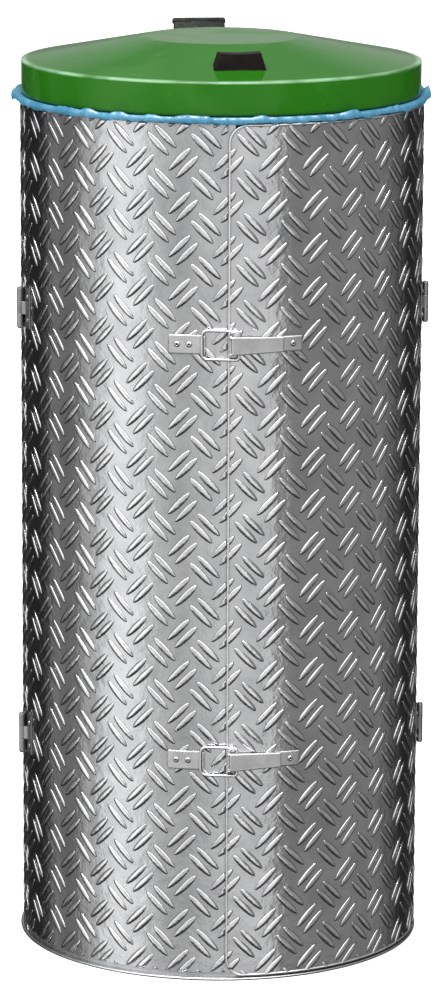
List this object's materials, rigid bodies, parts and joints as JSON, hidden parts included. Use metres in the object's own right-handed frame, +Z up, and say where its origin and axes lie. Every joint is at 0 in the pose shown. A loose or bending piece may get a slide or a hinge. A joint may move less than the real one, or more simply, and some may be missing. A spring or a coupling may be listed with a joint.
{
  "type": "enclosed trash receptacle",
  "caption": "Round tread-plate collector for 120 litre sacks, with two latched door leaves, a base pan and a hinged green plastic lid.",
  "frame": {"origin": "centre of the round foot on the floor", "axes": "+Z up, -Y to the front with the latches and the grip, +X to the right as seen from the front"},
  "size_m": [0.456, 0.4673, 1.0107],
  "materials": {
    "tread_plate": "mill-bright tread plate with pairs of raised bars",
    "galvanised": "bright zinc-coated pressed sheet",
    "hinge_steel": "zinc-plated steel",
    "latch_steel": "zinc-plated steel, satin",
    "rivet": "plain",
    "lid_plastic": "glossy moulded green plastic",
    "grip_plastic": "black moulded plastic",
    "rubber_band": "matt rubber",
    "sack_film": "thin blue film"
  },
  "bodies": {
    "body": {"base_pan": "galvanised", "pan_rivets": "rivet", "back_shell": "tread_plate", "sack_ring": "galvanised", "sack_ring_rivets": "rivet", "tension_ring": "rubber_band", "sack": "sack_film", "lid_hinge_bracket": "hinge_steel", "bracket_rivets": "rivet", "shell_hinge_rivets": "rivet", "lid_hinge_pin": "hinge_steel", "left_upper_hinge_body_leaf": "hinge_steel", "left_upper_hinge_pin": "hinge_steel", "left_lower_hinge_body_leaf": "hinge_steel", "left_lower_hinge_pin": "hinge_steel", "right_upper_hinge_body_leaf": "hinge_steel", "right_upper_hinge_pin": "hinge_steel", "right_lower_hinge_body_leaf": "hinge_steel", "right_lower_hinge_pin": "hinge_steel"},
    "left_door": {"left_door": "tread_plate", "left_upper_hinge_door_leaf": "hinge_steel", "left_lower_hinge_door_leaf": "hinge_steel", "left_door_hinge_rivets": "rivet", "upper_strike": "latch_steel", "lower_strike": "latch_steel", "strike_rivets": "rivet"},
    "right_door": {"right_door": "tread_plate", "right_upper_hinge_door_leaf": "hinge_steel", "right_lower_hinge_door_leaf": "hinge_steel", "right_door_hinge_rivets": "rivet", "upper_latch_base": "latch_steel", "lower_latch_base": "latch_steel", "latch_base_rivets": "rivet", "upper_lever_pin": "latch_steel", "lower_lever_pin": "latch_steel"},
    "upper_lever": {"upper_lever": "latch_steel"},
    "lower_lever": {"lower_lever": "latch_steel"},
    "upper_bail": {"upper_bail": "latch_steel"},
    "lower_bail": {"lower_bail": "latch_steel"},
    "lid": {"lid": "lid_plastic", "lid_hinge_leaf": "hinge_steel", "lid_backing_plate": "hinge_steel", "lid_hinge_rivets": "rivet", "grip": "grip_plastic", "grip_screws": "rivet"}
  },
  "joints": [
    {"name": "lid_hinge", "type": "hinge", "parent": "body", "child": "lid", "pos_m": [0, 0.2305, 1.001], "axis": [-1, 0, 0], "range_deg": [0, 105]},
    {"name": "right_door_swing", "type": "hinge", "parent": "body", "child": "right_door", "pos_m": [0.22479, -0.03159, 0.476], "axis": [0, 0, 1], "range_deg": [0, 120]},
    {"name": "left_door_swing", "type": "hinge", "parent": "body", "child": "left_door", "pos_m": [-0.22479, -0.03159, 0.476], "axis": [0, 0, -1], "range_deg": [0, 120]},
    {"name": "upper_lever_turn", "type": "hinge", "parent": "right_door", "child": "upper_lever", "pos_m": [-0.01419, -0.22836, 0.7055], "axis": [0, 0, -1], "range_deg": [0, 120]},
    {"name": "upper_bail_turn", "type": "hinge", "parent": "upper_lever", "child": "upper_bail", "pos_m": [-0.0057, -0.22814, 0.7055], "axis": [0, 0, -1], "range_deg": [-106, 0]},
    {"name": "lower_lever_turn", "type": "hinge", "parent": "right_door", "child": "lower_lever", "pos_m": [-0.01419, -0.22836, 0.2485], "axis": [0, 0, -1], "range_deg": [0, 120]},
    {"name": "lower_bail_turn", "type": "hinge", "parent": "lower_lever", "child": "lower_bail", "pos_m": [-0.0057, -0.22814, 0.2485], "axis": [0, 0, -1], "range_deg": [-106, 0]}
  ],
  "couplings": [
    {"joint": "upper_bail_turn", "follows": "upper_lever_turn", "ratio": -0.88},
    {"joint": "lower_bail_turn", "follows": "lower_lever_turn", "ratio": -0.88}
  ]
}
